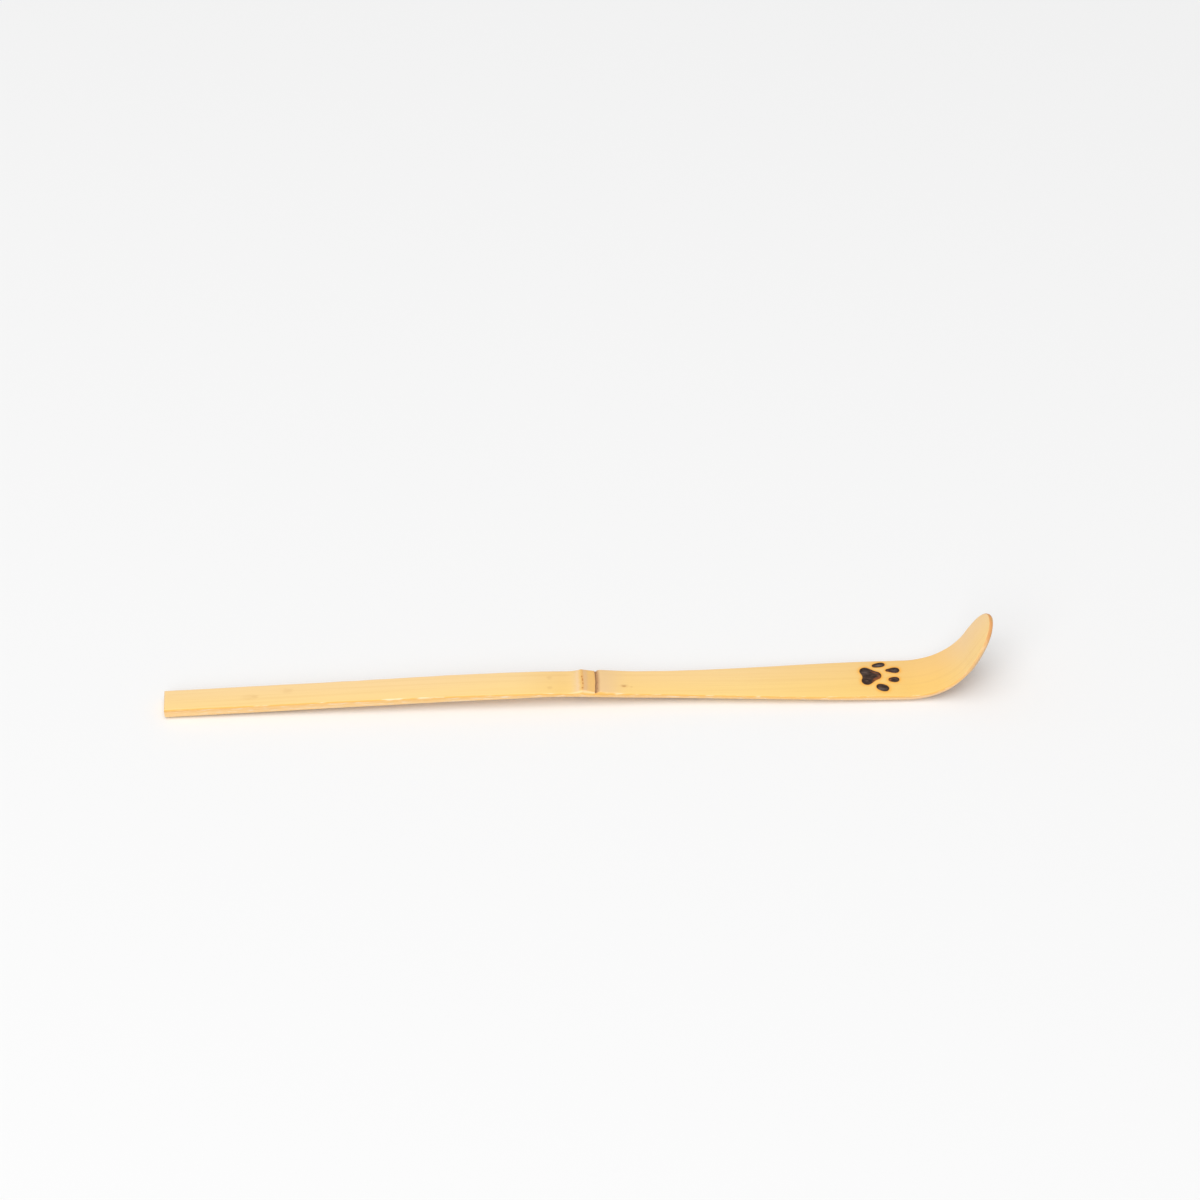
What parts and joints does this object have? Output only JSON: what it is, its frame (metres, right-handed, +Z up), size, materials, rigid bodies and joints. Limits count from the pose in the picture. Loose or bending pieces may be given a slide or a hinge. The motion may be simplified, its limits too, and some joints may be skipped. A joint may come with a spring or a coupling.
{
  "type": "bamboo tea scoop",
  "caption": "Slim bamboo tea scoop: a pared strip with a node ridge midway, a widening blade with a burnt paw mark and an upturned round bowl for lifting powdered tea.",
  "frame": {"origin": "on the table, under the middle of the whole length", "axes": "+X from the cut heel of the handle to the bowl, +Y across the strip, +Z up with the bamboo's skin side up"},
  "size_m": [0.1798, 0.0112, 0.0195],
  "materials": {
    "rind": "polished bamboo skin, satin",
    "flesh": "pared bamboo, fibrous and matt",
    "ridge": "bamboo node, satin",
    "scar": "corky sheath scar, matt",
    "stub": "sawn partition wall, rough",
    "char": "burnt bamboo, hard and half glossy"
  },
  "bodies": {
    "root": {"handle_rind": "rind", "handle_flesh": "flesh", "node_ridge": "ridge", "sheath_scar": "scar", "node_flesh": "flesh", "diaphragm_stub": "stub", "palm_char": "char", "toe_char_1": "char", "toe_char_2": "char", "toe_char_3": "char", "toe_char_4": "char", "blade_rind": "rind", "blade_flesh": "flesh", "bowl_rind": "rind", "bowl_flesh": "flesh"}
  },
  "joints": []
}
